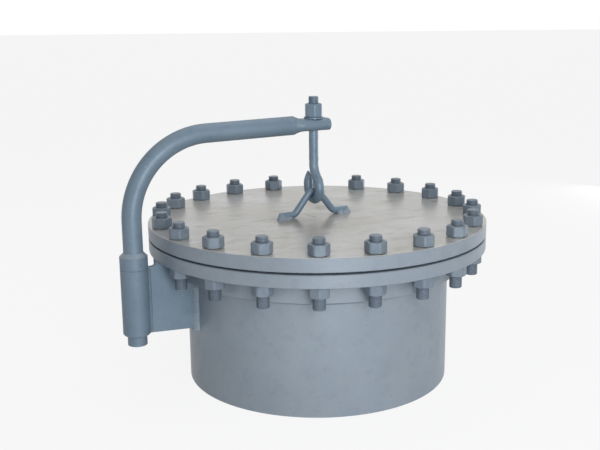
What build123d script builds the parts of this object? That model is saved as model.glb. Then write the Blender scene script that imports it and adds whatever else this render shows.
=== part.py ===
"""Bolted tank manway: nozzle neck, slip-on flange, blind cover, studs and a lifting davit.

Millimetres, +Z up.  The origin is the centre of the neck's open lower end, which is welded
to a tank.  The davit stands on the -X side, midway between two studs.
"""
import os
from math import acos, asin, cos, degrees, radians, sin, sqrt, tan

from build123d import *

os.makedirs("parts", exist_ok=True)

# Neck and hubbed slip-on flange
neck_diameter = 610.0
neck_wall = 10.0
neck_standout = 307.0          # lower end of the neck to the underside of the flange
neck_setback = 8.0             # flange face to the upper end of the neck
flange_thickness = 28.0
flange_bore_clearance = 1.0    # all round, between flange and neck
raised_face_height = 2.0
raised_face_land = 5.0         # raised face to the bolt holes
hub_wall = 25.0                # outside of the neck to outside of the hub
hub_height = 48.0
hub_root_radius = 7.0
hub_weld_leg = 12.0
bore_weld_leg = 7.0
edge_break = 1.5

# Gasket and blind cover
gasket_thickness = 2.4
gasket_margin = 5.0            # outside of the neck to the gasket's inner edge
cover_thickness = 30.0

# Studs and hexagon nuts
bolt_count = 20
bolt_hole_diameter = 30.0
bolt_edge_distance = 27.5      # bolt circle to the rims of flange and cover
stud_diameter = 27.0
stud_tip_chamfer = 2.0
stud_stand_above_cover = 35.0
stud_stand_below_nut = 26.0
nut_across_flats = 41.0
nut_height = 23.8
nut_hub_clearance = 1.83       # nut's corner to the hub's root
nut_thread_clearance = 0.2
nut_turn_step = 37.0            # degrees from one nut to the next

# Davit: bent pipe that turns in a sleeve
mast_rim_gap = 22.85           # flange rim to the sleeve
pipe_diameter = 42.4
pipe_wall = 4.0
pipe_bend_radius = 177.0
arm_height_above_cover = 214.5
arm_rise = 1.0                 # degrees, from the bend towards the hook
flat_thickness = 27.0
flat_width = 51.0
flat_transition = 18.0
flat_length_before_hook = 34.5
flat_length_past_hook = 33.0
flat_hook_hole_clearance = 1.0
sleeve_diameter = 60.3
sleeve_clearance = 0.5
sleeve_length = 148.0
sleeve_top_below_cover = 69.0
sleeve_chamfer = 3.0
stub_length = 23.0
collar_diameter = 60.3
collar_height = 27.5
collar_weld_leg = 9.0
joint_edge_chamfer = 0.8

# Gusset plate between the neck and the sleeve
gusset_thickness = 12.0
gusset_clearance = 0.3         # around the hub and under the flange
gusset_cope_clearance = 2.0    # below the hub and its weld
gusset_bottom_drop = 6.0       # from the sleeve to the neck
gusset_lip_height = 5.0
gusset_lip_length = 12.0
gusset_lip_sag = 2.0
gusset_sleeve_weld_leg = 6.0
gusset_neck_weld_leg = 11.0
gusset_weld_overrun = 7.0

# Bail on the cover
lifting_offset = 6.5           # lifting axis to the cover's axis, towards the mast
bail_rod_diameter = 16.0
bail_apex_height = 60.0        # cover face to the centre of the rod at the top
bail_apex_radius = 20.0
bail_foot_bend_radius = 18.0
bail_leg_angle = 52.0          # degrees, from the cover's face
bail_half_length = 84.0        # lifting axis to the end of a foot
bail_weld_width = 30.0
bail_weld_height = 9.0
bail_weld_overrun = 6.0
bail_weld_root = 3.0           # under the rod, from its middle
bail_weld_crest = 9.5          # from the rod's middle to the top of the weld

# Hook, washer and lifting nut
hook_rod_diameter = 21.5
hook_thread_diameter = 24.0
hook_thread_length = 78.0
hook_bowl_radius = 27.8        # centre line
hook_shoulder_radius = 44.0    # centre line, between shank and bowl
hook_seat_clearance = 0.4      # bowl to bail
hook_tip_straight = 10.0
hook_tip_length = 24.0
hook_tip_radius = 2.5
hook_stand_above_nut = 16.0
hook_thread_clearance = 0.2
lifting_nut_across_flats = 36.0
lifting_nut_height = 30.5
washer_diameter = 44.0
washer_thickness = 3.5
washer_clearance = 1.0
lifting_nut_turn = 13.0        # degrees

# Heights
flange_underside = neck_standout
flange_rim_top = flange_underside + flange_thickness
flange_face = flange_rim_top + raised_face_height
cover_underside = flange_face + gasket_thickness
cover_top = cover_underside + cover_thickness
neck_top = flange_face - neck_setback
hub_bottom = flange_underside - hub_height

# Radii, from the neck outwards
neck_radius = neck_diameter / 2
flange_bore_radius = neck_radius + flange_bore_clearance
hub_radius = neck_radius + hub_wall
nut_corner_radius = nut_across_flats / sqrt(3)
bolt_circle_radius = hub_radius + hub_root_radius + nut_hub_clearance + nut_corner_radius
raised_face_radius = bolt_circle_radius - bolt_hole_diameter / 2 - raised_face_land
gasket_inner_radius = neck_radius + gasket_margin
rim_radius = bolt_circle_radius + bolt_edge_distance
pipe_radius = pipe_diameter / 2
sleeve_radius = sleeve_diameter / 2
mast_radius = rim_radius + mast_rim_gap + sleeve_radius
rod_radius = hook_rod_diameter / 2
thread_radius = hook_thread_diameter / 2

# Levels of the davit and the lifting gear
sleeve_top = cover_top - sleeve_top_below_cover
sleeve_bottom = sleeve_top - sleeve_length
stub_bottom = sleeve_bottom - stub_length
flat_level = cover_top + arm_height_above_cover
flat_start = -lifting_offset - flat_length_before_hook
flat_top = flat_level + flat_thickness / 2
washer_top = flat_top + washer_thickness
nut_top = washer_top + lifting_nut_height
hook_top = nut_top + hook_stand_above_nut
thread_bottom = hook_top - hook_thread_length

bolt_step = 360.0 / bolt_count
bolt_angles = [180.0 + bolt_step * (index + 0.5) for index in range(bolt_count)]
bolt_places = [
    (bolt_circle_radius * cos(radians(angle)), bolt_circle_radius * sin(radians(angle)))
    for angle in bolt_angles
]


def save(piece, name):
    """Label a finished piece and write it as its own STEP file."""
    piece.label = name
    export_step(piece, f"parts/{name}.step")


def hexagon_nut(across_flats, height, bore_diameter, place, turn):
    """Plain hexagon nut standing on a point."""
    with BuildPart() as nut:
        with BuildSketch(Plane(origin=place)):
            RegularPolygon(across_flats / 2, 6, major_radius=False, rotation=turn)
            Circle(bore_diameter / 2, mode=Mode.SUBTRACT)
        extrude(amount=height)
    return nut.part


def ring(inner_radius, outer_radius, level, height, centre_x=0.0):
    """Plain ring standing on a level."""
    with BuildPart() as piece:
        with BuildSketch(Plane(origin=(centre_x, 0, level))):
            Circle(outer_radius)
            Circle(inner_radius, mode=Mode.SUBTRACT)
        extrude(amount=height)
    return piece.part


def turned(points, centre_x=0.0):
    """Solid of revolution about a vertical axis, from (radius, height) points."""
    with BuildPart() as piece:
        with BuildSketch(Plane(origin=(centre_x, 0, 0), x_dir=(1, 0, 0), z_dir=(0, -1, 0))):
            with BuildLine():
                Polyline(*points, close=True)
            make_face()
        revolve(axis=Axis((centre_x, 0, 0), (0, 0, 1)))
    return piece.part


# Neck: pipe whose upper end stops inside the flange
save(ring(neck_radius - neck_wall, neck_radius, 0, neck_top), "neck")

# Flange: rim, raised face and hub in one turned profile
with BuildPart() as flange:
    with BuildSketch(Plane.XZ):
        with BuildLine():
            Polyline(
                (flange_bore_radius, hub_bottom),
                (hub_radius, hub_bottom),
                (hub_radius, flange_underside),
                (rim_radius, flange_underside),
                (rim_radius, flange_rim_top),
                (raised_face_radius, flange_rim_top),
                (raised_face_radius, flange_face),
                (flange_bore_radius, flange_face),
                close=True,
            )
        make_face()
        hub_corner = vertices().sort_by_distance(Vector(hub_radius, flange_underside))[0]
        fillet(hub_corner, radius=hub_root_radius)
        rim_corners = vertices().group_by(Axis.X)[-1]
        chamfer(rim_corners, length=edge_break)
    revolve(axis=Axis.Z)
    with BuildSketch(Plane.XY.offset(flange_underside)):
        with Locations(*bolt_places):
            Circle(bolt_hole_diameter / 2)
    extrude(amount=flange_thickness, mode=Mode.SUBTRACT)
save(flange.part, "flange")

# Fillet welds between flange and neck: under the hub, and inside on the neck's end
save(
    turned([
        (neck_radius, hub_bottom - hub_weld_leg),
        (neck_radius + hub_weld_leg, hub_bottom),
        (neck_radius, hub_bottom),
    ]),
    "hub_weld",
)
save(
    turned([
        (flange_bore_radius - bore_weld_leg, neck_top),
        (flange_bore_radius, neck_top),
        (flange_bore_radius, neck_top + bore_weld_leg),
    ]),
    "bore_weld",
)

# Gasket and blind cover
save(
    ring(gasket_inner_radius, raised_face_radius, flange_face, gasket_thickness),
    "gasket",
)

with BuildPart() as cover:
    with BuildSketch(Plane.XY.offset(cover_underside)):
        Circle(rim_radius)
    extrude(amount=cover_thickness)
    rim_edges = edges().filter_by(GeomType.CIRCLE)
    chamfer(rim_edges, length=edge_break)
    with BuildSketch(Plane.XY.offset(cover_underside)):
        with Locations(*bolt_places):
            Circle(bolt_hole_diameter / 2)
    extrude(amount=cover_thickness, mode=Mode.SUBTRACT)
save(cover.part, "cover")

# Studs, each with an upper nut on the cover and a lower nut under the flange
lower_nut_level = flange_underside - nut_height
stud_bottom = lower_nut_level - stud_stand_below_nut
stud_length = cover_top + stud_stand_above_cover - stud_bottom
nut_bore = stud_diameter + 2 * nut_thread_clearance
lower_nuts = []
for number, (x, y) in enumerate(bolt_places, start=1):
    with BuildPart() as stud:
        with BuildSketch(Plane(origin=(x, y, stud_bottom))):
            Circle(stud_diameter / 2)
        extrude(amount=stud_length)
        chamfer(edges().filter_by(GeomType.CIRCLE), length=stud_tip_chamfer)
    save(stud.part, f"stud_{number:02d}")
    upper_turn = number * nut_turn_step
    upper_nut = hexagon_nut(nut_across_flats, nut_height, nut_bore, (x, y, cover_top), upper_turn)
    save(upper_nut, f"upper_nut_{number:02d}")
    lower_nuts.append(
        hexagon_nut(nut_across_flats, nut_height, stud_diameter, (x, y, lower_nut_level), -upper_turn)
    )
save(Compound(children=lower_nuts), "lower_nuts")

# Sleeve: the davit's socket
with BuildPart() as sleeve:
    with BuildSketch(Plane(origin=(-mast_radius, 0, sleeve_bottom))):
        Circle(sleeve_radius)
        Circle(pipe_radius + sleeve_clearance, mode=Mode.SUBTRACT)
    extrude(amount=sleeve_length)
    outer_edges = edges().filter_by(GeomType.CIRCLE).group_by(SortBy.RADIUS)[-1].sort_by(Axis.Z)
    chamfer(outer_edges[0], length=sleeve_chamfer)
    top_edges = edges().filter_by(GeomType.CIRCLE).group_by(SortBy.RADIUS)[-1].sort_by(Axis.Z)
    chamfer(top_edges[-1], length=joint_edge_chamfer)
save(sleeve.part, "sleeve")

# Gusset plate, coped round the hub and lipped against the flange's rim
plate_bottom_at_neck = sleeve_bottom - gusset_bottom_drop
plate_under_flange = flange_underside - gusset_clearance
plate_rim_x = -(rim_radius + gusset_clearance)
plate_hub_x = -(hub_radius + gusset_clearance)
plate_cope_bottom = hub_bottom - hub_weld_leg - gusset_cope_clearance
half_plate = gusset_thickness / 2
plate_neck_x = -sqrt(neck_radius**2 - half_plate**2)
plate_sleeve_x = -mast_radius + sqrt(sleeve_radius**2 - half_plate**2)
with BuildPart() as gusset:
    with BuildSketch(Plane.XZ):
        with BuildLine():
            Polyline(
                (plate_rim_x, flange_underside + gusset_lip_height),
                (plate_rim_x, plate_under_flange),
                (plate_hub_x - hub_root_radius, plate_under_flange),
                (plate_hub_x, plate_under_flange - hub_root_radius),
                (plate_hub_x, hub_bottom - gusset_cope_clearance),
                (plate_neck_x, plate_cope_bottom),
                (plate_neck_x, plate_bottom_at_neck),
                (plate_sleeve_x, sleeve_bottom),
                (plate_sleeve_x, sleeve_top),
                (plate_rim_x - gusset_lip_length, sleeve_top),
            )
            SagittaArc(
                (plate_rim_x - gusset_lip_length, sleeve_top),
                (plate_rim_x, flange_underside + gusset_lip_height),
                -gusset_lip_sag,
            )
        make_face()
    extrude(amount=half_plate, both=True)
    with BuildSketch(Plane(origin=(-mast_radius, 0, sleeve_bottom))):
        Circle(sleeve_radius)
    extrude(amount=sleeve_length, mode=Mode.SUBTRACT)
    with BuildSketch(Plane.XY):
        Circle(neck_radius)
    extrude(amount=neck_top, mode=Mode.SUBTRACT)
save(gusset.part, "gusset")

# Gusset welds: a fillet on each face of the plate, against the sleeve and against the neck
sleeve_toe_angle = asin(half_plate / sleeve_radius) + gusset_sleeve_weld_leg / sleeve_radius
sleeve_toe_x = -mast_radius + sleeve_radius * cos(sleeve_toe_angle)
sleeve_toe_y = sleeve_radius * sin(sleeve_toe_angle)
with BuildPart() as gusset_sleeve_weld:
    with BuildSketch(Plane.XY.offset(sleeve_bottom + sleeve_chamfer)):
        with BuildLine():
            Polyline(
                (sleeve_toe_x, half_plate),
                (plate_sleeve_x + gusset_sleeve_weld_leg, half_plate),
                (sleeve_toe_x, sleeve_toe_y),
                close=True,
            )
        make_face()
        mirror(about=Plane.XZ)
    extrude(amount=sleeve_length - 2 * sleeve_chamfer)
    with BuildSketch(Plane(origin=(-mast_radius, 0, sleeve_bottom))):
        Circle(sleeve_radius)
    extrude(amount=sleeve_length, mode=Mode.SUBTRACT)
save(gusset_sleeve_weld.part, "gusset_sleeve_weld")

neck_toe_angle = asin(half_plate / neck_radius) + gusset_neck_weld_leg / neck_radius
neck_toe_x = -neck_radius * cos(neck_toe_angle)
neck_toe_y = neck_radius * sin(neck_toe_angle)
neck_weld_foot = plate_neck_x - gusset_neck_weld_leg
neck_weld_bottom = plate_bottom_at_neck - gusset_weld_overrun
with BuildPart() as gusset_neck_weld:
    with BuildSketch(Plane.XY.offset(neck_weld_bottom)):
        with BuildLine():
            Polyline(
                (neck_toe_x, -neck_toe_y),
                (neck_weld_foot, -half_plate),
                (neck_weld_foot, half_plate),
                (neck_toe_x, neck_toe_y),
                close=True,
            )
        make_face()
    extrude(amount=plate_cope_bottom - neck_weld_bottom)
    with BuildSketch(Plane.XY):
        Circle(neck_radius)
    extrude(amount=neck_top, mode=Mode.SUBTRACT)
    with BuildSketch(Plane.XZ):
        with BuildLine():
            Polyline(
                (plate_neck_x, plate_bottom_at_neck),
                (plate_sleeve_x, sleeve_bottom),
                (plate_sleeve_x, plate_cope_bottom),
                (plate_neck_x, plate_cope_bottom),
                close=True,
            )
        make_face()
    extrude(amount=half_plate, both=True, mode=Mode.SUBTRACT)
save(gusset_neck_weld.part, "gusset_neck_weld")

# Davit: one pipe, bent from mast to arm, pressed flat at the hook
arm_end_x = flat_start - flat_transition
arm_corner_level = flat_level - (mast_radius + arm_end_x) * tan(radians(arm_rise))
arm_end_plane = Plane(
    origin=(arm_end_x, 0, flat_level),
    x_dir=(0, 1, 0),
    z_dir=(cos(radians(arm_rise)), 0, sin(radians(arm_rise))),
)
flat_plane = Plane(origin=(flat_start, 0, flat_level), x_dir=(0, 1, 0), z_dir=(1, 0, 0))
flat_length = flat_length_before_hook + flat_length_past_hook
with BuildPart() as davit_arm:
    with BuildLine(Plane.XZ):
        FilletPolyline(
            (-mast_radius, stub_bottom),
            (-mast_radius, arm_corner_level),
            (arm_end_x, flat_level),
            radius=pipe_bend_radius,
        )
    with BuildSketch(Plane(origin=(-mast_radius, 0, stub_bottom))):
        Circle(pipe_radius)
    sweep()
    with BuildSketch(arm_end_plane):
        Circle(pipe_radius)
    with BuildSketch(flat_plane):
        SlotOverall(flat_width, flat_thickness)
    loft()
    with BuildSketch(flat_plane):
        SlotOverall(flat_width, flat_thickness)
    extrude(amount=flat_length)
    with BuildLine(Plane.XZ):
        FilletPolyline(
            (-mast_radius, stub_bottom),
            (-mast_radius, arm_corner_level),
            (arm_end_x, flat_level),
            radius=pipe_bend_radius,
        )
    with BuildSketch(Plane(origin=(-mast_radius, 0, stub_bottom))):
        Circle(pipe_radius - pipe_wall)
    sweep(mode=Mode.SUBTRACT)
    with BuildSketch(arm_end_plane):
        Circle(pipe_radius - pipe_wall)
    with BuildSketch(flat_plane):
        SlotOverall(flat_width - 2 * pipe_wall, flat_thickness - 2 * pipe_wall)
    loft(mode=Mode.SUBTRACT)
    with BuildSketch(flat_plane):
        SlotOverall(flat_width - 2 * pipe_wall, flat_thickness - 2 * pipe_wall)
    extrude(amount=flat_length, mode=Mode.SUBTRACT)
    with BuildSketch(Plane(origin=(-lifting_offset, 0, flat_level - flat_thickness))):
        Circle(thread_radius + flat_hook_hole_clearance)
    extrude(amount=2 * flat_thickness, mode=Mode.SUBTRACT)
save(davit_arm.part, "davit_arm")

# Collar on the mast, resting on the sleeve, and the weld above it
collar_top = sleeve_top + collar_height
with BuildPart() as collar:
    with BuildSketch(Plane(origin=(-mast_radius, 0, sleeve_top))):
        Circle(collar_diameter / 2)
        Circle(pipe_radius, mode=Mode.SUBTRACT)
    extrude(amount=collar_height)
    lower_edge = edges().filter_by(GeomType.CIRCLE).group_by(SortBy.RADIUS)[-1].sort_by(Axis.Z)[0]
    chamfer(lower_edge, length=joint_edge_chamfer)
save(collar.part, "collar")
save(
    turned([
        (pipe_radius, collar_top),
        (collar_diameter / 2, collar_top),
        (pipe_radius, collar_top + collar_weld_leg),
    ], -mast_radius),
    "collar_weld",
)

# Bail: round rod in an upturned V with its feet turned out on the cover
bail_radius = bail_rod_diameter / 2
leg_slope = radians(bail_leg_angle)
foot_level = cover_top + bail_radius
apex_corner_level = cover_top + bail_apex_height + bail_apex_radius * (1 / cos(leg_slope) - 1)
foot_corner_x = (apex_corner_level - foot_level) / tan(leg_slope)
bail_plane = Plane(origin=(-lifting_offset, 0, 0), x_dir=(1, 0, 0), z_dir=(0, -1, 0))
with BuildPart() as bail:
    with BuildLine(bail_plane):
        FilletPolyline(
            (-bail_half_length, foot_level),
            (-foot_corner_x, foot_level),
            (0, apex_corner_level),
            (foot_corner_x, foot_level),
            (bail_half_length, foot_level),
            radius=(bail_foot_bend_radius, bail_apex_radius, bail_foot_bend_radius),
        )
    foot_end = (-lifting_offset - bail_half_length, 0, foot_level)
    with BuildSketch(Plane(origin=foot_end, z_dir=(1, 0, 0))):
        Circle(bail_radius)
    sweep()
save(bail.part, "bail")

# Bail welds: a fillet along each side of a foot, closed round its end
bail_weld_start = foot_corner_x + bail_foot_bend_radius * tan(leg_slope / 2)
bail_weld_length = bail_half_length - bail_weld_start
for side, name in ((-1, "bail_weld_left"), (1, "bail_weld_right")):
    start_x = -lifting_offset + side * bail_weld_start
    end_x = -lifting_offset + side * bail_half_length
    with BuildPart() as bail_weld:
        with BuildSketch(Plane.YZ.offset(start_x)):
            with BuildLine():
                Polyline(
                    (bail_weld_root, cover_top),
                    (bail_weld_width / 2, cover_top),
                    (bail_weld_crest, cover_top + bail_weld_height),
                    (bail_weld_root, cover_top + bail_weld_height),
                    close=True,
                )
            make_face()
            mirror(about=Plane.YZ)
        extrude(amount=side * bail_weld_length)
        with BuildSketch(Plane.YZ.offset(end_x)):
            with BuildLine():
                Polyline(
                    (-bail_weld_width / 2, cover_top),
                    (bail_weld_width / 2, cover_top),
                    (bail_weld_crest, cover_top + bail_weld_height),
                    (-bail_weld_crest, cover_top + bail_weld_height),
                    close=True,
                )
            make_face()
        extrude(amount=side * bail_weld_overrun)
        with BuildSketch(Plane.YZ.offset(start_x)):
            with Locations((0, foot_level)):
                Circle(bail_radius)
        extrude(amount=side * bail_weld_length, mode=Mode.SUBTRACT)
    save(bail_weld.part, name)

# Hook: threaded shank, shoulder, bowl under the bail and a drawn-out tip
bowl_level = (
    cover_top + bail_apex_height - bail_radius - hook_seat_clearance + hook_bowl_radius - rod_radius
)
shoulder_turn = acos(hook_shoulder_radius / (hook_shoulder_radius + hook_bowl_radius))
shoulder_level = bowl_level + (hook_shoulder_radius + hook_bowl_radius) * sin(shoulder_turn)
hook_plane = Plane(origin=(-lifting_offset, 0, 0), x_dir=(0, -1, 0), z_dir=(-1, 0, 0))
with BuildPart() as hook:
    with BuildLine(hook_plane):
        shank = Line((0, thread_bottom), (0, shoulder_level))
        shoulder = JernArc(shank @ 1, shank % 1, hook_shoulder_radius, degrees(shoulder_turn))
        bowl = JernArc(shoulder @ 1, shoulder % 1, hook_bowl_radius, -degrees(shoulder_turn) - 180)
        tip = Line(bowl @ 1, bowl @ 1 + Vector(0, 0, hook_tip_straight))
    with BuildSketch(Plane(origin=(-lifting_offset, 0, thread_bottom), z_dir=(0, 0, -1))):
        Circle(rod_radius)
    sweep()
    tip_level = bowl_level + hook_tip_straight
    with BuildSketch(Plane(origin=(-lifting_offset, hook_bowl_radius, tip_level))):
        Circle(rod_radius)
    with BuildSketch(Plane(origin=(-lifting_offset, hook_bowl_radius, tip_level + hook_tip_length))):
        Circle(hook_tip_radius)
    loft()
    with BuildSketch(Plane(origin=(-lifting_offset, 0, thread_bottom))):
        Circle(thread_radius)
    extrude(amount=hook_thread_length)
    top_edge = edges().filter_by(GeomType.CIRCLE).sort_by(Axis.Z)[-1]
    chamfer(top_edge, length=stud_tip_chamfer)
save(hook.part, "hook")

# Washer and lifting nut on the arm
washer_bore_radius = thread_radius + washer_clearance
save(
    ring(washer_bore_radius, washer_diameter / 2, flat_top, washer_thickness, -lifting_offset),
    "washer",
)
save(
    hexagon_nut(
        lifting_nut_across_flats,
        lifting_nut_height,
        hook_thread_diameter + 2 * hook_thread_clearance,
        (-lifting_offset, 0, washer_top),
        lifting_nut_turn,
    ),
    "lifting_nut",
)
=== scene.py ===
"""Looks of the bolted tank manway: satin blue-grey enamel, studs, nuts, welds and lifting gear."""
import math

import bmesh
import bpy
from mathutils import Matrix, Vector, noise


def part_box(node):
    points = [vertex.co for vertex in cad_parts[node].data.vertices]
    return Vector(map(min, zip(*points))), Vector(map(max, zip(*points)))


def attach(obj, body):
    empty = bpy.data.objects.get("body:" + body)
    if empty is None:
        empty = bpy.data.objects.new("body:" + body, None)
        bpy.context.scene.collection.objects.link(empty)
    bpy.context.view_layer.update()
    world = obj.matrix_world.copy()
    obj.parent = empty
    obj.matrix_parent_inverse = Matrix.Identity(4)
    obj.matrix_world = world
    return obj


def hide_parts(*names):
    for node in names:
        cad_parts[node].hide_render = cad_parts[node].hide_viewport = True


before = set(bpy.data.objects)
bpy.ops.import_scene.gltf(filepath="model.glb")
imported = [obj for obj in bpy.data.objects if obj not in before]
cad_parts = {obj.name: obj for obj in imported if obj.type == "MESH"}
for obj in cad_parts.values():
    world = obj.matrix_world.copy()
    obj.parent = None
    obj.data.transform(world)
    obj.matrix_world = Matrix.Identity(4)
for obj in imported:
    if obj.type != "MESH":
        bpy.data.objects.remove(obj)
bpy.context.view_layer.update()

MM = 0.001
SHARP = 38.0  # degrees between two faces, past which their edge is a crease
WELD_SHARP = 70.0


# ---------------------------------------------------------------- shader helpers
class Value:
    """A number socket that takes part in ordinary arithmetic."""

    def __init__(self, paint, socket):
        self.paint = paint
        self.socket = socket

    def maths(self, operation, first, second):
        return self.paint.add("ShaderNodeMath", {"operation": operation}, {0: first, 1: second})

    def __add__(self, other):
        return self.maths("ADD", self, other)

    def __sub__(self, other):
        return self.maths("SUBTRACT", self, other)

    def __rsub__(self, other):
        return self.maths("SUBTRACT", other, self)

    def __mul__(self, other):
        return self.maths("MULTIPLY", self, other)

    def above(self, edge, width):
        """0 below the edge, 1 above it, with a smooth step of the given width."""
        return self.paint.add(
            "ShaderNodeMapRange",
            {"interpolation_type": "SMOOTHSTEP"},
            {"Value": self, "From Min": edge - width / 2, "From Max": edge + width / 2},
        )

    __radd__ = __add__
    __rmul__ = __mul__


class Paint:
    """A material under construction: its node tree, its shader and short ways to add nodes."""

    def __init__(self, name, tree=None):
        if tree is None:
            self.material = bpy.data.materials.new(name)
            self.material.use_nodes = True
            tree = self.material.node_tree
        self.tree = tree
        self.shader = tree.nodes.get("Principled BSDF")
        self.place = tree.nodes.new("ShaderNodeTexCoord").outputs["Object"]

    def link(self, value, socket):
        """Set a socket to a plain value, or link a socket to it."""
        if isinstance(value, Value):
            value = value.socket
        if isinstance(value, bpy.types.NodeSocket):
            self.tree.links.new(value, socket)
        else:
            socket.default_value = value

    def add(self, kind, settings, values, output=0):
        """Add a node, with its settings first and then its inputs, and give one output."""
        node = self.tree.nodes.new(kind)
        for name, setting in settings.items():
            setattr(node, name, setting)
        for name, value in values.items():
            self.link(value, node.inputs[name])
        return Value(self, node.outputs[output])

    def noise(self, scale, detail=3.0, roughness=0.5, stretch=(1, 1, 1), offset=(0, 0, 0)):
        """Noise from 0 to 1, with its scale in features a metre."""
        place = self.add(
            "ShaderNodeMapping", {}, {"Vector": self.place, "Scale": stretch, "Location": offset}
        )
        return self.add(
            "ShaderNodeTexNoise",
            {},
            {"Vector": place, "Scale": scale, "Detail": detail, "Roughness": roughness},
        )

    def height(self):
        """Height above the neck's lower end, in metres."""
        return self.add("ShaderNodeSeparateXYZ", {}, {0: self.place}, 2)

    def blend(self, factor, first, second, blend_type="MIX"):
        """Mix two colours."""
        node = self.tree.nodes.new("ShaderNodeMix")
        node.data_type = "RGBA"
        node.blend_type = blend_type
        self.link(factor, node.inputs[0])
        self.link(first, node.inputs[6])
        self.link(second, node.inputs[7])
        return Value(self, node.outputs[2])

    def set(self, name, value):
        self.link(value, self.shader.inputs[name])

    def bump(self, height, distance, strength=1.0, under=None):
        """Bump from a height of 0 to 1, over another bump if one is given."""
        values = {"Height": height, "Distance": distance, "Strength": strength}
        if under is not None:
            values["Normal"] = under
        return self.add("ShaderNodeBump", {}, values)


def colour(red, green, blue):
    """Linear colour from the 0 to 255 steps of a colour card."""
    return tuple(
        (step / 255 / 12.92) if step / 255 <= 0.04045 else ((step / 255 + 0.055) / 1.055) ** 2.4
        for step in (red, green, blue)
    ) + (1.0,)


def enamel(name, base, light, dark, gloss=0.36, peel=0.00012, dust=0.07, chips=0.5, metal=0.2):
    """Brushed satin enamel: mottled colour, orange peel, dust and chips."""
    paint = Paint(name)
    clouds = paint.noise(7.0, 4.0, 0.6)
    patches = paint.noise(38.0, 5.0, 0.62, offset=(0.3, 0.1, 0.7))
    grain = paint.noise(420.0, 2.0, 0.5)
    tone = paint.blend(clouds.above(0.52, 0.6) * 0.6, base, light)
    tone = paint.blend(patches.above(0.64, 0.34) * 0.35, tone, dark)
    tone = paint.blend(grain.above(0.6, 0.3) * 0.12, tone, light)
    # Dust and weld smoke that the brush picked up
    dusty = (paint.noise(16.0, 6.0, 0.7, offset=(1.7, 0.4, 0.2)).above(0.6, 0.2)) * dust
    tone = paint.blend(dusty, tone, colour(176, 168, 152))
    # Small chips and specks
    specks = paint.noise(150.0, 3.0, 0.55, offset=(0.2, 2.1, 0.9))
    chip = specks.above(0.735, 0.03) * chips
    tone = paint.blend(chip, tone, colour(66, 70, 74))
    bright = paint.noise(210.0, 2.0, 0.5, offset=(3.2, 0.1, 1.9)).above(0.745, 0.03) * (chips * 0.8)
    tone = paint.blend(bright, tone, colour(196, 203, 208))
    paint.set("Base Color", tone)
    paint.set("Roughness", gloss + 0.14 * patches + 0.2 * dusty + 0.15 * chip)
    waves = paint.bump(paint.noise(55.0, 3.0, 0.5), 0.0006, 0.35)
    skin = paint.bump(paint.noise(520.0, 2.0, 0.55), peel, 0.8, waves)
    paint.set("Normal", paint.bump(1.0 - chip, 0.0001, 0.7, skin))
    paint.set("Metallic", metal)
    paint.set("Specular IOR Level", 0.2)
    paint.set("Coat Weight", 0.15)
    paint.set("Coat Roughness", 0.22)
    return paint


def dress(nodes, material):
    """Give CAD nodes a material."""
    for node in nodes:
        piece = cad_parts[node]
        piece.data.materials.clear()
        piece.data.materials.append(material)


# ---------------------------------------------------------------- mesh helpers
def finish_piece(name, mesh, material, body, nodes, crease=SHARP):
    """Turn a bmesh into a piece: normals, creases, material, body and slot."""
    bmesh.ops.remove_doubles(mesh, verts=mesh.verts[:], dist=1e-6)
    bmesh.ops.recalc_face_normals(mesh, faces=mesh.faces[:])
    place_piece(name, to_mesh(mesh, name, crease), material, body, nodes)


def place_piece(name, data, material, body, nodes):
    """Link a finished mesh as a piece that rides on a body."""
    data.materials.clear()
    data.materials.append(material)
    piece = bpy.data.objects.new(name, data)
    bpy.context.scene.collection.objects.link(piece)
    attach(piece, body)
    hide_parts(*nodes)


def profile_edges(mesh, points, closed=True):
    """Edges through (radius, height) points in the XZ plane."""
    verts = [mesh.verts.new((x, 0.0, z)) for x, z in points]
    pairs = list(zip(verts, verts[1:]))
    if closed:
        pairs.append((verts[-1], verts[0]))
    return verts + [mesh.edges.new(pair) for pair in pairs]


def spin_round(mesh, geometry, steps):
    """Full turn about the Z axis."""
    bmesh.ops.spin(
        mesh, geom=geometry, cent=(0, 0, 0), axis=(0, 0, 1), angle=2 * math.pi,
        steps=steps, use_merge=True, use_duplicate=False,
    )


def hexagon_nut(across_flats, height, bore_radius, blunt=0.955):
    """Hexagon nut with coned, slightly blunted corners and a countersunk bore."""
    flat = across_flats / 2
    corner = across_flats / math.sqrt(3) * blunt
    crown = flat * 0.92
    drop = (corner - crown) * math.tan(math.radians(30))
    sink = 1.3 * MM
    mesh = bmesh.new()
    outline = [
        (bore_radius + sink, 0.0), (crown, 0.0), (corner, drop), (corner, height - drop),
        (crown, height), (bore_radius + sink, height), (bore_radius, height - sink), (bore_radius, sink),
    ]
    spin_round(mesh, profile_edges(mesh, outline), 60)
    for side in range(6):
        angle = math.radians(60 * side + 30)
        normal = Vector((math.cos(angle), math.sin(angle), 0.0))
        cut = bmesh.ops.bisect_plane(
            mesh, geom=mesh.verts[:] + mesh.edges[:] + mesh.faces[:], dist=1e-7,
            plane_co=normal * flat, plane_no=normal, clear_outer=True,
        )
        rim = [part for part in cut["geom_cut"] if isinstance(part, bmesh.types.BMEdge)]
        bmesh.ops.edgeloop_fill(mesh, edges=rim)
    bmesh.ops.recalc_face_normals(mesh, faces=mesh.faces[:])
    return mesh


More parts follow.
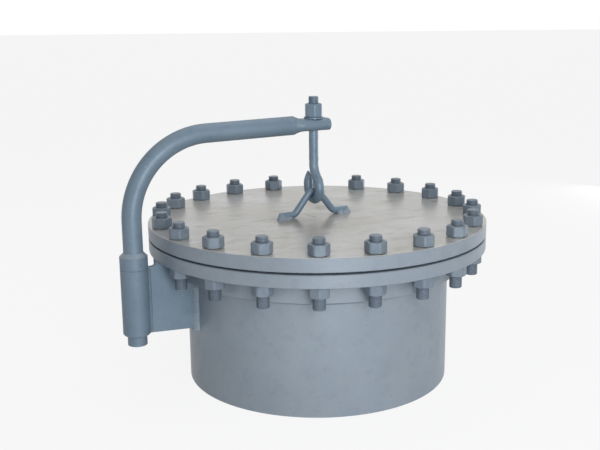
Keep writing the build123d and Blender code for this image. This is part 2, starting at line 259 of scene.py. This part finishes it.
def threaded_rod(low, high, major, pitch, tip, steps=26, tips=(True, True)):
    """Threaded rod on the Z axis, cut square and drawn in at its tips."""
    depth = 0.58 * pitch
    root = major - depth
    turns = int((high - low) / pitch) + 3
    start = low - 1.5 * pitch
    mesh = bmesh.new()
    flank = [
        (root, start), (root, start + 0.2 * pitch), (major, start + 0.5 * pitch),
        (major, start + 0.68 * pitch), (root, start + pitch),
    ]
    geometry = profile_edges(mesh, flank, closed=False)
    bmesh.ops.spin(
        mesh, geom=geometry, cent=(0, 0, 0), axis=(0, 0, 1), angle=2 * math.pi * turns,
        dvec=(0, 0, pitch / steps), steps=steps * turns, use_duplicate=False,
    )
    bmesh.ops.remove_doubles(mesh, verts=mesh.verts[:], dist=2e-6)
    for level, direction in ((low, -1.0), (high, 1.0)):
        cut = bmesh.ops.bisect_plane(
            mesh, geom=mesh.verts[:] + mesh.edges[:] + mesh.faces[:], dist=1e-7,
            plane_co=(0, 0, level), plane_no=(0, 0, direction), clear_outer=True,
        )
        rim = [part for part in cut["geom_cut"] if isinstance(part, bmesh.types.BMEdge)]
        bmesh.ops.edgeloop_fill(mesh, edges=rim)
    for vert in mesh.verts:
        radius = vert.co.xy.length
        limits = [major]
        if tips[0]:
            limits.append(major - tip + (vert.co.z - low))
        if tips[1]:
            limits.append(major - tip + (high - vert.co.z))
        if radius > min(limits):
            vert.co.xy *= min(limits) / radius
    bmesh.ops.recalc_face_normals(mesh, faces=mesh.faces[:])
    return mesh


def roughen(mesh, amount, scale, seed):
    """Push each vertex along its normal by smooth noise."""
    mesh.normal_update()
    moves = []
    for vert in mesh.verts:
        push = amount * noise.noise(vert.co * scale + Vector((seed, seed * 0.7, -seed)))
        moves.append((vert, vert.normal * push))
    for vert, move in moves:
        vert.co += move


def to_mesh(mesh, name, crease=SHARP):
    """Write a bmesh to mesh data with smooth faces and sharp creases."""
    for face in mesh.faces:
        face.smooth = True
    for edge in mesh.edges:
        edge.smooth = len(edge.link_faces) == 2 and edge.calc_face_angle(0.0) < math.radians(crease)
    data = bpy.data.meshes.new(name)
    mesh.to_mesh(data)
    mesh.free()
    return data


# ---------------------------------------------------------------- finishes
grey = colour(140, 151, 162)
grey_light = colour(155, 166, 176)
grey_dark = colour(122, 133, 145)

body_enamel = enamel("body_enamel", grey, grey_light, grey_dark, gloss=0.42)
davit_enamel = enamel(
    "davit_enamel", colour(112, 131, 147), colour(130, 149, 164), colour(90, 107, 122), gloss=0.42, chips=0.7
)
gear_enamel = enamel(
    "gear_enamel", colour(112, 132, 149), colour(134, 153, 169), colour(84, 102, 118), gloss=0.34, chips=0.8
)
nut_enamel = enamel(
    "nut_enamel", colour(114, 127, 140), colour(140, 152, 164), colour(84, 96, 108), gloss=0.36, chips=0.7
)
weld_enamel = enamel(
    "weld_enamel", colour(126, 141, 154), colour(168, 180, 190), colour(96, 110, 122), gloss=0.34, peel=0.0004
)

# Cover: rim as the flange; upper face warmer and smudged, with darker ovals, and painted lighter than the rim
# as a reflection of the pale sky
cover_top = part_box("cover")[1].z
cover_paint = enamel("cover_paint", grey, grey_light, grey_dark, gloss=0.42)
# Warm dusty grey of the face, painted lighter than the rim as a reflection of the pale sky
face_tone_and_painted_reflection = cover_paint.blend(
    cover_paint.noise(5.0, 5.0, 0.65, offset=(0.5, 0.2, 0)).above(0.5, 0.35),
    colour(184, 181, 173), colour(206, 206, 204),
)
face_tone_and_painted_reflection = cover_paint.blend(
    cover_paint.noise(14.0, 6.0, 0.7, stretch=(1.0, 2.2, 1.0), offset=(1.1, 0.6, 0)).above(0.6, 0.22) * 0.55,
    face_tone_and_painted_reflection, colour(134, 124, 106),
)
face_tone_and_painted_reflection = cover_paint.blend(
    cover_paint.noise(26.0, 7.0, 0.75, stretch=(0.6, 2.6, 1.0), offset=(0.1, 3.6, 0)).above(0.64, 0.16) * 0.5,
    face_tone_and_painted_reflection, colour(206, 206, 204),
)


def near(centre, size, tilt, softness, ragged):
    """1 inside a ragged oval on the cover's face, 0 outside it."""
    local = cover_paint.add(
        "ShaderNodeMapping", {"vector_type": "TEXTURE"},
        {"Vector": cover_paint.place, "Location": (centre[0], centre[1], cover_top),
         "Rotation": (0, 0, math.radians(tilt)), "Scale": (size[0], size[1], 1.0)},
    )
    reach = cover_paint.add("ShaderNodeVectorMath", {"operation": "LENGTH"}, {0: local}, 1)
    torn = cover_paint.noise(60.0, 6.0, 0.7, stretch=(1.0, 1.6, 1.0), offset=(centre[0], 0.3, 0.2))
    return (1.0 - reach + ragged * (torn - 0.5)).above(0.0, softness)


# Two darker brown ragged ovals on the face
for centre, size, tilt, depth in (
    ((-0.062, -0.055), (0.085, 0.05), -62, 0.5), ((0.055, 0.075), (0.03, 0.02), 60, 0.55),
):
    face_tone_and_painted_reflection = cover_paint.blend(near(centre, size, tilt, 0.9, 1.6) * depth, face_tone_and_painted_reflection, colour(104, 94, 78))
scratch = near((-0.0135, 0.001), (0.0026, 0.024), 14, 0.5, 2.4)
face_tone_and_painted_reflection = cover_paint.blend(scratch * 0.9, face_tone_and_painted_reflection, colour(42, 40, 38))
# The upper face takes its warm tone with the painted sky reflection; the rim keeps the enamel
upper = cover_paint.height().above(cover_top - 0.7 * MM, 0.6 * MM)
rim_tone = cover_paint.shader.inputs["Base Color"].links[0].from_socket
cover_paint.set("Base Color", cover_paint.blend(upper, rim_tone, face_tone_and_painted_reflection))
cover_paint.set("Metallic", 0.2 - 0.1 * upper)
cover_paint.set("Coat Weight", 0.15 + 0.35 * upper)
face_gloss = 0.27 + 0.16 * cover_paint.noise(9.0, 5.0, 0.65, offset=(0.9, 2.4, 0))
rim_gloss = Value(cover_paint, cover_paint.shader.inputs["Roughness"].links[0].from_socket)
cover_paint.set("Roughness", upper * face_gloss + (1.0 - upper) * rim_gloss)

# Gasket: matt black sheet, a little dusty in patches
gasket_rubber = Paint("gasket_rubber")
rubber_cloud = gasket_rubber.noise(60.0, 4.0, 0.6)
gasket_rubber.set("Base Color", gasket_rubber.blend(rubber_cloud, colour(14, 14, 15), colour(34, 34, 36)))
gasket_rubber.set("Roughness", 0.7 + 0.2 * rubber_cloud)
gasket_rubber.set("Normal", gasket_rubber.bump(gasket_rubber.noise(900.0, 2.0), 0.0001, 0.6))

dress(("neck", "flange", "bore_weld"), body_enamel.material)
dress(("cover",), cover_paint.material)
dress(("gasket",), gasket_rubber.material)
dress(("davit_arm", "sleeve", "collar", "gusset"), davit_enamel.material)
dress(("bail", "washer"), gear_enamel.material)

# ---------------------------------------------------------------- studs and nuts
bolt_count = 20
# Turn of each upper nut as it was tightened, in degrees
upper_turns = (15, 42, 50, 38, 27, 3, 36, 2, 53, 48, 52, 13, 49, 20, 40, 19, 21, 33, 8, 29)
upper_low, upper_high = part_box("upper_nut_01")
lower_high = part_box("lower_nuts")[1]
stud_low, stud_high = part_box("stud_01")
stud_radius = (stud_high.x - stud_low.x) / 2
nut_height = upper_high.z - upper_low.z
nut_template = to_mesh(hexagon_nut(41 * MM, nut_height, stud_radius + 0.1 * MM), "nut_template")
stud_template = to_mesh(
    threaded_rod(stud_low.z, stud_high.z, stud_radius, 3 * MM, 1.1 * MM), "stud_template"
)
lower_nuts = bmesh.new()
for number in range(1, bolt_count + 1):
    low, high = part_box(f"stud_{number:02d}")
    centre = (low + high) / 2
    place = Matrix.Translation((centre.x, centre.y, 0.0))
    turn = Matrix.Rotation(math.radians(upper_turns[number - 1]), 4, "Z")
    stud = stud_template.copy()
    stud.transform(place @ Matrix.Rotation(math.radians(73.0 * number), 4, "Z"))
    place_piece(f"threaded_stud_{number:02d}", stud, nut_enamel.material, "neck_assembly",
                (f"stud_{number:02d}",))
    nut = nut_template.copy()
    nut.transform(Matrix.Translation((centre.x, centre.y, upper_low.z)) @ turn)
    place_piece(f"hexagon_nut_{number:02d}", nut, nut_enamel.material, "upper_nuts",
                (f"upper_nut_{number:02d}",))
    under = nut_template.copy()
    under.transform(
        Matrix.Translation((centre.x, centre.y, lower_high.z - nut_height))
        @ Matrix.Rotation(math.radians(29.0 * number + 8), 4, "Z")
    )
    lower_nuts.from_mesh(under)
    bpy.data.meshes.remove(under)
place_piece("lower_hexagon_nuts", to_mesh(lower_nuts, "lower_hexagon_nuts"), nut_enamel.material,
            "neck_assembly", ("lower_nuts",))
bpy.data.meshes.remove(nut_template)
bpy.data.meshes.remove(stud_template)

# ---------------------------------------------------------------- lifting nut and hook
nut_low, nut_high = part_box("lifting_nut")
lift_x = (nut_low.x + nut_high.x) / 2
lifting_nut = hexagon_nut(36 * MM, nut_high.z - nut_low.z, 12.1 * MM)
bmesh.ops.transform(
    lifting_nut, verts=lifting_nut.verts[:],
    matrix=Matrix.Translation((lift_x, 0, nut_low.z)) @ Matrix.Rotation(math.radians(13), 4, "Z"),
)
finish_piece("lifting_hexagon_nut", lifting_nut, gear_enamel.material, "lifting_nut",
             ("lifting_nut",))

hook_low, hook_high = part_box("hook")
rod = 10.75 * MM
bowl = 27.8 * MM
shoulder = 44 * MM
thread_low = hook_high.z - 78 * MM
bowl_level = hook_low.z + bowl + rod
shoulder_turn = math.acos(shoulder / (shoulder + bowl))
shoulder_level = bowl_level + (shoulder + bowl) * math.sin(shoulder_turn)


def draw_out(mesh, ring, steps):
    """Extrude a ring of edges step by step; each step is a move and a scale about its middle."""
    for move, scale in steps:
        grown = bmesh.ops.extrude_edge_only(mesh, edges=ring)["geom"]
        verts = [part for part in grown if isinstance(part, bmesh.types.BMVert)]
        ring = [part for part in grown if isinstance(part, bmesh.types.BMEdge)]
        ring = [edge for edge in ring if edge.verts[0] in verts and edge.verts[1] in verts]
        bmesh.ops.translate(mesh, verts=verts, vec=move)
        centre = sum((vert.co for vert in verts), Vector()) / len(verts)
        bmesh.ops.scale(mesh, verts=verts, vec=scale, space=Matrix.Translation(-centre))
    return ring


def bend(mesh, ring, centre, axis, angle, steps):
    """Carry a ring of edges round a bend and give the ring at its end."""
    verts = list({vert for edge in ring for vert in edge.verts})
    result = bmesh.ops.spin(
        mesh, geom=verts + ring, cent=centre, axis=axis, angle=angle, steps=steps, use_duplicate=False,
    )
    return [part for part in result["geom_last"] if isinstance(part, bmesh.types.BMEdge)]


hook = bmesh.new()
bmesh.ops.create_circle(
    hook, cap_ends=False, segments=32, radius=rod, matrix=Matrix.Translation((0, 0, thread_low + 2 * MM)),
)
ring = hook.edges[:]
drop = (shoulder_level - thread_low - 2 * MM) / 12
ring = draw_out(hook, ring, [(Vector((0, 0, drop)), Vector((1, 1, 1)))] * 12)
ring = bend(hook, ring, Vector((0, -shoulder, shoulder_level)), (1, 0, 0), -shoulder_turn, 14)
ring = bend(hook, ring, Vector((0, 0, bowl_level)), (1, 0, 0), shoulder_turn + math.pi, 44)
rise = Vector((0, 0, 1)) * MM
ring = draw_out(hook, ring, [
    (rise * 5, Vector((1, 1, 1))), (rise * 5, Vector((0.97, 1, 1))), (rise * 6, Vector((0.88, 0.96, 1))),
    (rise * 6, Vector((0.78, 0.9, 1))), (rise * 5, Vector((0.64, 0.84, 1))),
    (rise * 4, Vector((0.55, 0.8, 1))), (rise * 2, Vector((0.6, 0.72, 1))), (rise, Vector((0.5, 0.6, 1))),
])
bmesh.ops.edgeloop_fill(hook, edges=ring)
bmesh.ops.recalc_face_normals(hook, faces=hook.faces[:])
roughen(hook, 0.5 * MM, 60.0, 3.1)
roughen(hook, 0.22 * MM, 190.0, 8.7)
thread = threaded_rod(thread_low, hook_high.z, 12 * MM, 3 * MM, 2 * MM)
thread_data = to_mesh(thread, "hook_thread")
hook.from_mesh(thread_data)
bpy.data.meshes.remove(thread_data)
bmesh.ops.translate(hook, verts=hook.verts[:], vec=(lift_x, 0, 0))
place_piece("forged_hook", to_mesh(hook, "forged_hook"), gear_enamel.material, "hook",
            ("hook",))

# ---------------------------------------------------------------- welds
def ripple(distance, length):
    """Scallop of one weld pass, 0 to 1, for a distance along the bead."""
    return abs(math.sin(math.pi * distance / length)) ** 0.7


def ring_bead(name, node, centre_x, outline, steps, amount, pitch, seed, body):
    """Fillet weld round a pipe: a bulged triangle spun round, then rippled and made uneven."""
    mesh = bmesh.new()
    spin_round(mesh, profile_edges(mesh, outline), steps)
    bmesh.ops.remove_doubles(mesh, verts=mesh.verts[:], dist=1e-6)
    bmesh.ops.recalc_face_normals(mesh, faces=mesh.faces[:])
    inner = min(point[0] for point in outline)
    for vert in mesh.verts:
        radius = vert.co.xy.length
        if radius < inner + 0.4 * MM:
            continue
        around_ring = math.atan2(vert.co.y, vert.co.x) * inner
        wave = ripple(around_ring + 4 * MM * noise.noise(vert.co * 30.0), pitch)
        uneven = noise.noise(Vector((around_ring * 55.0, vert.co.z * 90.0, seed)))
        push = amount * (0.6 * (wave - 1.0) + 0.7 * uneven)
        vert.co.xy *= (radius + push) / radius
        vert.co.z += amount * 0.8 * noise.noise(Vector((around_ring * 40.0, seed, 4.0)))
    bmesh.ops.translate(mesh, verts=mesh.verts[:], vec=(centre_x, 0, 0))
    finish_piece(name, mesh, weld_enamel.material, body, (node,), WELD_SHARP)


def bulged(corner, first, last, bulge, count=7):
    """Closed outline of a fillet weld: its corner, then an arc between its two toes."""
    corner, first, last = Vector(corner), Vector(first), Vector(last)
    outward = ((first + last) / 2 - corner).normalized()
    points = [tuple(corner)]
    for step in range(count):
        share = step / (count - 1)
        point = first.lerp(last, share) + outward * bulge * math.sin(math.pi * share)
        points.append(tuple(point))
    return points


hub_low, hub_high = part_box("hub_weld")
neck_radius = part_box("neck")[1].x
weld_leg = hub_high.z - hub_low.z
ring_bead(
    "hub_bead", "hub_weld", 0.0,
    bulged((neck_radius, hub_high.z), (neck_radius, hub_low.z + 1.5 * MM),
           (neck_radius + weld_leg - 1.5 * MM, hub_high.z), 0.6 * MM),
    420, 1.1 * MM, 9 * MM, 2.0, "neck_assembly",
)
collar_low, collar_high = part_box("collar_weld")
mast_x = (collar_low.x + collar_high.x) / 2
pipe_radius = 21.2 * MM
collar_radius = (collar_high.x - collar_low.x) / 2
ring_bead(
    "collar_bead", "collar_weld", mast_x,
    bulged((pipe_radius, collar_low.z), (collar_radius - 0.4 * MM, collar_low.z),
           (pipe_radius, collar_high.z - 0.5 * MM), 0.3 * MM),
    120, 1.0 * MM, 7 * MM, 5.0, "davit",
)


def straight_bead(mesh, outline, place, low, high, steps, amount, pitch, seed):
    """Vertical fillet weld: a bulged outline drawn upwards, rippled and made uneven."""
    points = [place(x, y) for x, y in outline]
    verts = [mesh.verts.new((x, y, low)) for x, y in points]
    edges = [mesh.edges.new(pair) for pair in zip(verts, verts[1:] + verts[:1])]
    bmesh.ops.edgeloop_fill(mesh, edges=edges)
    middle = sum((vert.co for vert in verts), Vector()) / len(verts)
    step = (high - low) / steps
    ring = edges
    for number in range(steps):
        grown = bmesh.ops.extrude_edge_only(mesh, edges=ring)["geom"]
        fresh = [part for part in grown if isinstance(part, bmesh.types.BMVert)]
        ring = [part for part in grown if isinstance(part, bmesh.types.BMEdge)
                and part.verts[0] in fresh and part.verts[1] in fresh]
        bmesh.ops.translate(mesh, verts=fresh, vec=(0, 0, step))
    bmesh.ops.edgeloop_fill(mesh, edges=ring)
    corner = Vector((points[0][0], points[0][1], 0.0))
    for vert in mesh.verts:
        offset = Vector((vert.co.x - corner.x, vert.co.y - corner.y, 0.0))
        if offset.length < 0.1 * MM or not low - 1 <= vert.co.z <= high + 1:
            continue
        wave = ripple(vert.co.z + 3 * MM * noise.noise(vert.co * 45.0), pitch)
        uneven = noise.noise(Vector((vert.co.x * 30.0, vert.co.y * 30.0, vert.co.z * 60.0 + seed)))
        ends = min(1.0, (vert.co.z - low) / (4 * MM), (high - vert.co.z) / (4 * MM))
        push = amount * (0.7 * (wave - 1.0) + 0.8 * uneven) - 2.2 * MM * (1.0 - max(ends, 0.0))
        vert.co += offset.normalized() * max(push, -0.6 * offset.length)


def twin_beads(name, node, outline, box, steps, amount, pitch, seeds):
    """A straight bead along each face of the gusset plate, as one piece."""
    beads = bmesh.new()
    for face, seed in zip((-1, 1), seeds):
        part = bmesh.new()
        straight_bead(
            part, outline, lambda x, y: (x, y * face), box[0].z, box[1].z, steps, amount, pitch, seed,
        )
        bmesh.ops.recalc_face_normals(part, faces=part.faces[:])
        data = bpy.data.meshes.new("bead")
        part.to_mesh(data)
        part.free()
        beads.from_mesh(data)
        bpy.data.meshes.remove(data)
    finish_piece(name, beads, weld_enamel.material, "neck_assembly", (node,), WELD_SHARP)


sleeve_low, sleeve_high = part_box("sleeve")
sleeve_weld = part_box("gusset_sleeve_weld")
neck_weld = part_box("gusset_neck_weld")
half_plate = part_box("gusset")[1].y
sleeve_radius = (sleeve_high.x - sleeve_low.x) / 2
bite = 0.5 * MM  # how far a bead's root reaches into what it joins
toe_y = half_plate - 0.3 * MM
sleeve_joint = (mast_x + math.sqrt(sleeve_radius ** 2 - half_plate ** 2) - bite, half_plate - bite)
neck_joint = (bite - math.sqrt(neck_radius ** 2 - half_plate ** 2), half_plate - bite)
twin_beads(
    "sleeve_beads", "gusset_sleeve_weld",
    bulged(sleeve_joint, (sleeve_weld[1].x, toe_y), (sleeve_weld[0].x, sleeve_weld[1].y), 0.8 * MM),
    sleeve_weld, 100, 0.8 * MM, 7 * MM, (-11.0, 11.0),
)
twin_beads(
    "neck_beads", "gusset_neck_weld",
    bulged(neck_joint, (neck_weld[0].x, toe_y), (neck_weld[1].x, neck_weld[1].y), 1.0 * MM),
    neck_weld, 90, 1.3 * MM, 9 * MM, (-6.0, 8.0),
)

tip_reach = 7 * MM
skirt_crest = 13.5 * MM
burr_height = 3 * MM
tip_shift = 2.5 * MM
narrowing = 0.72  # share of the foot's length where its weld starts to draw in to a point


def bump_at(along, place, width):
    """Smooth bump of height 1 about a place along the foot."""
    return math.exp(-((along - place) / width) ** 2)


def foot_bead(side_sign, node):
    """Skirt of weld along both sides of a foot, torn up at its end and drawn to a point."""
    foot_low, foot_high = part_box(node)
    inner_x = foot_high.x if side_sign < 0 else foot_low.x
    outer_x = (foot_low.x - tip_reach) if side_sign < 0 else (foot_high.x + tip_reach)
    reach = abs(outer_x - inner_x)
    mesh = bmesh.new()
    bmesh.ops.create_grid(mesh, x_segments=60, y_segments=44, size=1.0)
    for vert in mesh.verts:
        along = (vert.co.x + 1) / 2
        across = vert.co.y
        seed = 1.5 if across > 0 else 6.5
        jag = noise.noise(Vector((along * 6.0, 4.0 * side_sign, seed)))
        fine = noise.noise(Vector((along * 21.0, 2.0 * side_sign, seed + 3.0)))
        width = foot_high.y * min(1.0, 0.86 + 0.26 * jag + 0.1 * fine) * min(1.0, 0.55 + 2.6 * along)
        narrow = max(0.0, (along - narrowing) / (1.0 - narrowing))
        width *= 1.0 - 0.93 * narrow ** 1.3
        burr = bump_at(along, 0.76, 0.035) + 0.7 * bump_at(along, 0.66, 0.05)
        fall = min(1.0, max(0.0, (1.0 - along) / 0.2)) ** 0.8
        crest = (skirt_crest + burr_height * burr) * fall
        level = crest * max(0.0, 1.0 - abs(across) ** 1.9) + 0.25 * MM
        wave = ripple(along * reach + 3 * MM * jag, 7 * MM) - 0.6
        level += (1.1 * wave + 0.9 * fine) * MM * (1.0 - abs(across)) * min(1.0, fall * 2)
        vert.co = Vector((
            inner_x + side_sign * along * reach, across * width - tip_shift * narrow,
            cover_top + max(level, 0.1 * MM),
        ))
    walls = bmesh.ops.extrude_face_region(mesh, geom=mesh.faces[:])["geom"]
    for part in walls:
        if isinstance(part, bmesh.types.BMVert):
            part.co.z = cover_top + 0.01 * MM
    finish_piece(f"foot_bead_{node.split('_')[-1]}", mesh, weld_enamel.material, "cover_assembly",
                 (node,), 60.0)


foot_bead(-1, "bail_weld_left")
foot_bead(1, "bail_weld_right")

# ---------------------------------------------------------------- camera
camera_data = bpy.data.cameras.new("camera")
camera_data.sensor_width = 36.0
camera_data.lens = 54.83
camera_data.clip_end = 50.0
camera = bpy.data.objects.new("camera", camera_data)
bpy.context.scene.collection.objects.link(camera)
bpy.context.scene.camera = camera
heading = math.radians(26.588)
pitch = math.radians(12.83)
roll = math.radians(-0.58)
forward = Vector(
    (math.sin(heading) * math.cos(pitch), math.cos(heading) * math.cos(pitch), -math.sin(pitch))
)
side = Vector((math.cos(heading), -math.sin(heading), 0.0))
upward = side.cross(forward)
right = side * math.cos(roll) + upward * math.sin(roll)
up = upward * math.cos(roll) - side * math.sin(roll)
camera_turn = Matrix((right, up, -forward)).transposed().to_4x4()
camera_place = Vector((-0.9705, -1.8518, cover_top + 0.4538))
camera.matrix_world = Matrix.Translation(camera_place) @ camera_turn

# ---------------------------------------------------------------- studio
bpy.context.scene.view_settings.view_transform = "Standard"
world = bpy.data.worlds.new("studio")
bpy.context.scene.world = world
world.use_nodes = True
sky = Paint("studio", world.node_tree)
background = world.node_tree.nodes["Background"]
camera_bearing = 243.4  # degrees round the neck, from +X
window_bearing = 50  # degrees to the right of the camera
front_angle = math.radians(camera_bearing + window_bearing)
front = Vector((math.cos(front_angle), math.sin(front_angle), 0.2)).normalized()
direction = world.node_tree.nodes["Texture Coordinate"].outputs["Generated"]


def towards(axis):
    """Cosine between the ray and an axis."""
    return sky.add("ShaderNodeVectorMath", {"operation": "DOT_PRODUCT"}, {0: direction, 1: tuple(axis)}, 1)


def background_rays(paint):
    """1 for the rays that see the white background: camera, glossy and transmission rays."""
    path = paint.tree.nodes.new("ShaderNodeLightPath").outputs
    shiny = paint.add(
        "ShaderNodeMath", {"operation": "MAXIMUM"}, {0: path["Is Glossy Ray"], 1: path["Is Transmission Ray"]}
    )
    return paint.add("ShaderNodeMath", {"operation": "MAXIMUM"}, {0: path["Is Camera Ray"], 1: shiny})


seen = background_rays(sky)
room = sky.add("ShaderNodeMath", {"operation": "MAXIMUM"}, {0: 0.17 + 0.4 * towards(front), 1: 0.02})
tint = sky.blend(seen, (0.93, 0.965, 1.0, 1.0), (1.0, 1.0, 1.0, 1.0))
strength = sky.add("ShaderNodeMath", {"operation": "MULTIPLY_ADD"}, {0: 1.0 - seen, 1: room, 2: seen})
sky.link(tint, background.inputs["Color"])
sky.link(strength, background.inputs["Strength"])


def lamp(name, place, target, energy, width, height, tint=(1.0, 1.0, 1.0)):
    """Rectangular soft lamp that faces a target."""
    data = bpy.data.lights.new(name, "AREA")
    data.shape = "RECTANGLE"
    data.size = width
    data.size_y = height
    data.energy = energy
    data.color = tint
    light = bpy.data.objects.new(name, data)
    bpy.context.scene.collection.objects.link(light)
    light.location = place
    light.rotation_euler = (Vector(target) - light.location).to_track_quat("-Z", "Y").to_euler()


middle = Vector((0.0, 0.0, 0.25))


def around(bearing, distance, height):
    """Point round the neck: bearing in degrees to the right of the camera, seen from the neck."""
    angle = math.radians(camera_bearing + bearing)
    return Vector((distance * math.cos(angle), distance * math.sin(angle), height))


lamp("key", around(13, 2.3, 0.72), middle, 27, 0.8, 1.4)
lamp("back", around(132, 2.6, 0.17), Vector((0.0, 0.0, 0.17)), 8, 1.6, 0.3)
lamp("top", Vector((0.3, 0.5, 2.6)), (0.0, 0.1, 0.3), 14, 2.2, 2.2)

bpy.ops.mesh.primitive_plane_add(size=160)
floor = bpy.context.object
floor.name = "floor"
floor_paint = Paint("floor")
floor_paint.set("Base Color", (0.8, 0.8, 0.8, 1.0))
floor_paint.set("Roughness", 0.9)
glow = floor_paint.tree.nodes.new("ShaderNodeEmission")
mixer = floor_paint.tree.nodes.new("ShaderNodeMixShader")
floor_paint.link(background_rays(floor_paint) * 0.88, mixer.inputs[0])
floor_paint.tree.links.new(floor_paint.shader.outputs[0], mixer.inputs[1])
floor_paint.tree.links.new(glow.outputs[0], mixer.inputs[2])
floor_paint.tree.links.new(mixer.outputs[0], floor_paint.tree.nodes["Material Output"].inputs[0])
floor.data.materials.append(floor_paint.material)
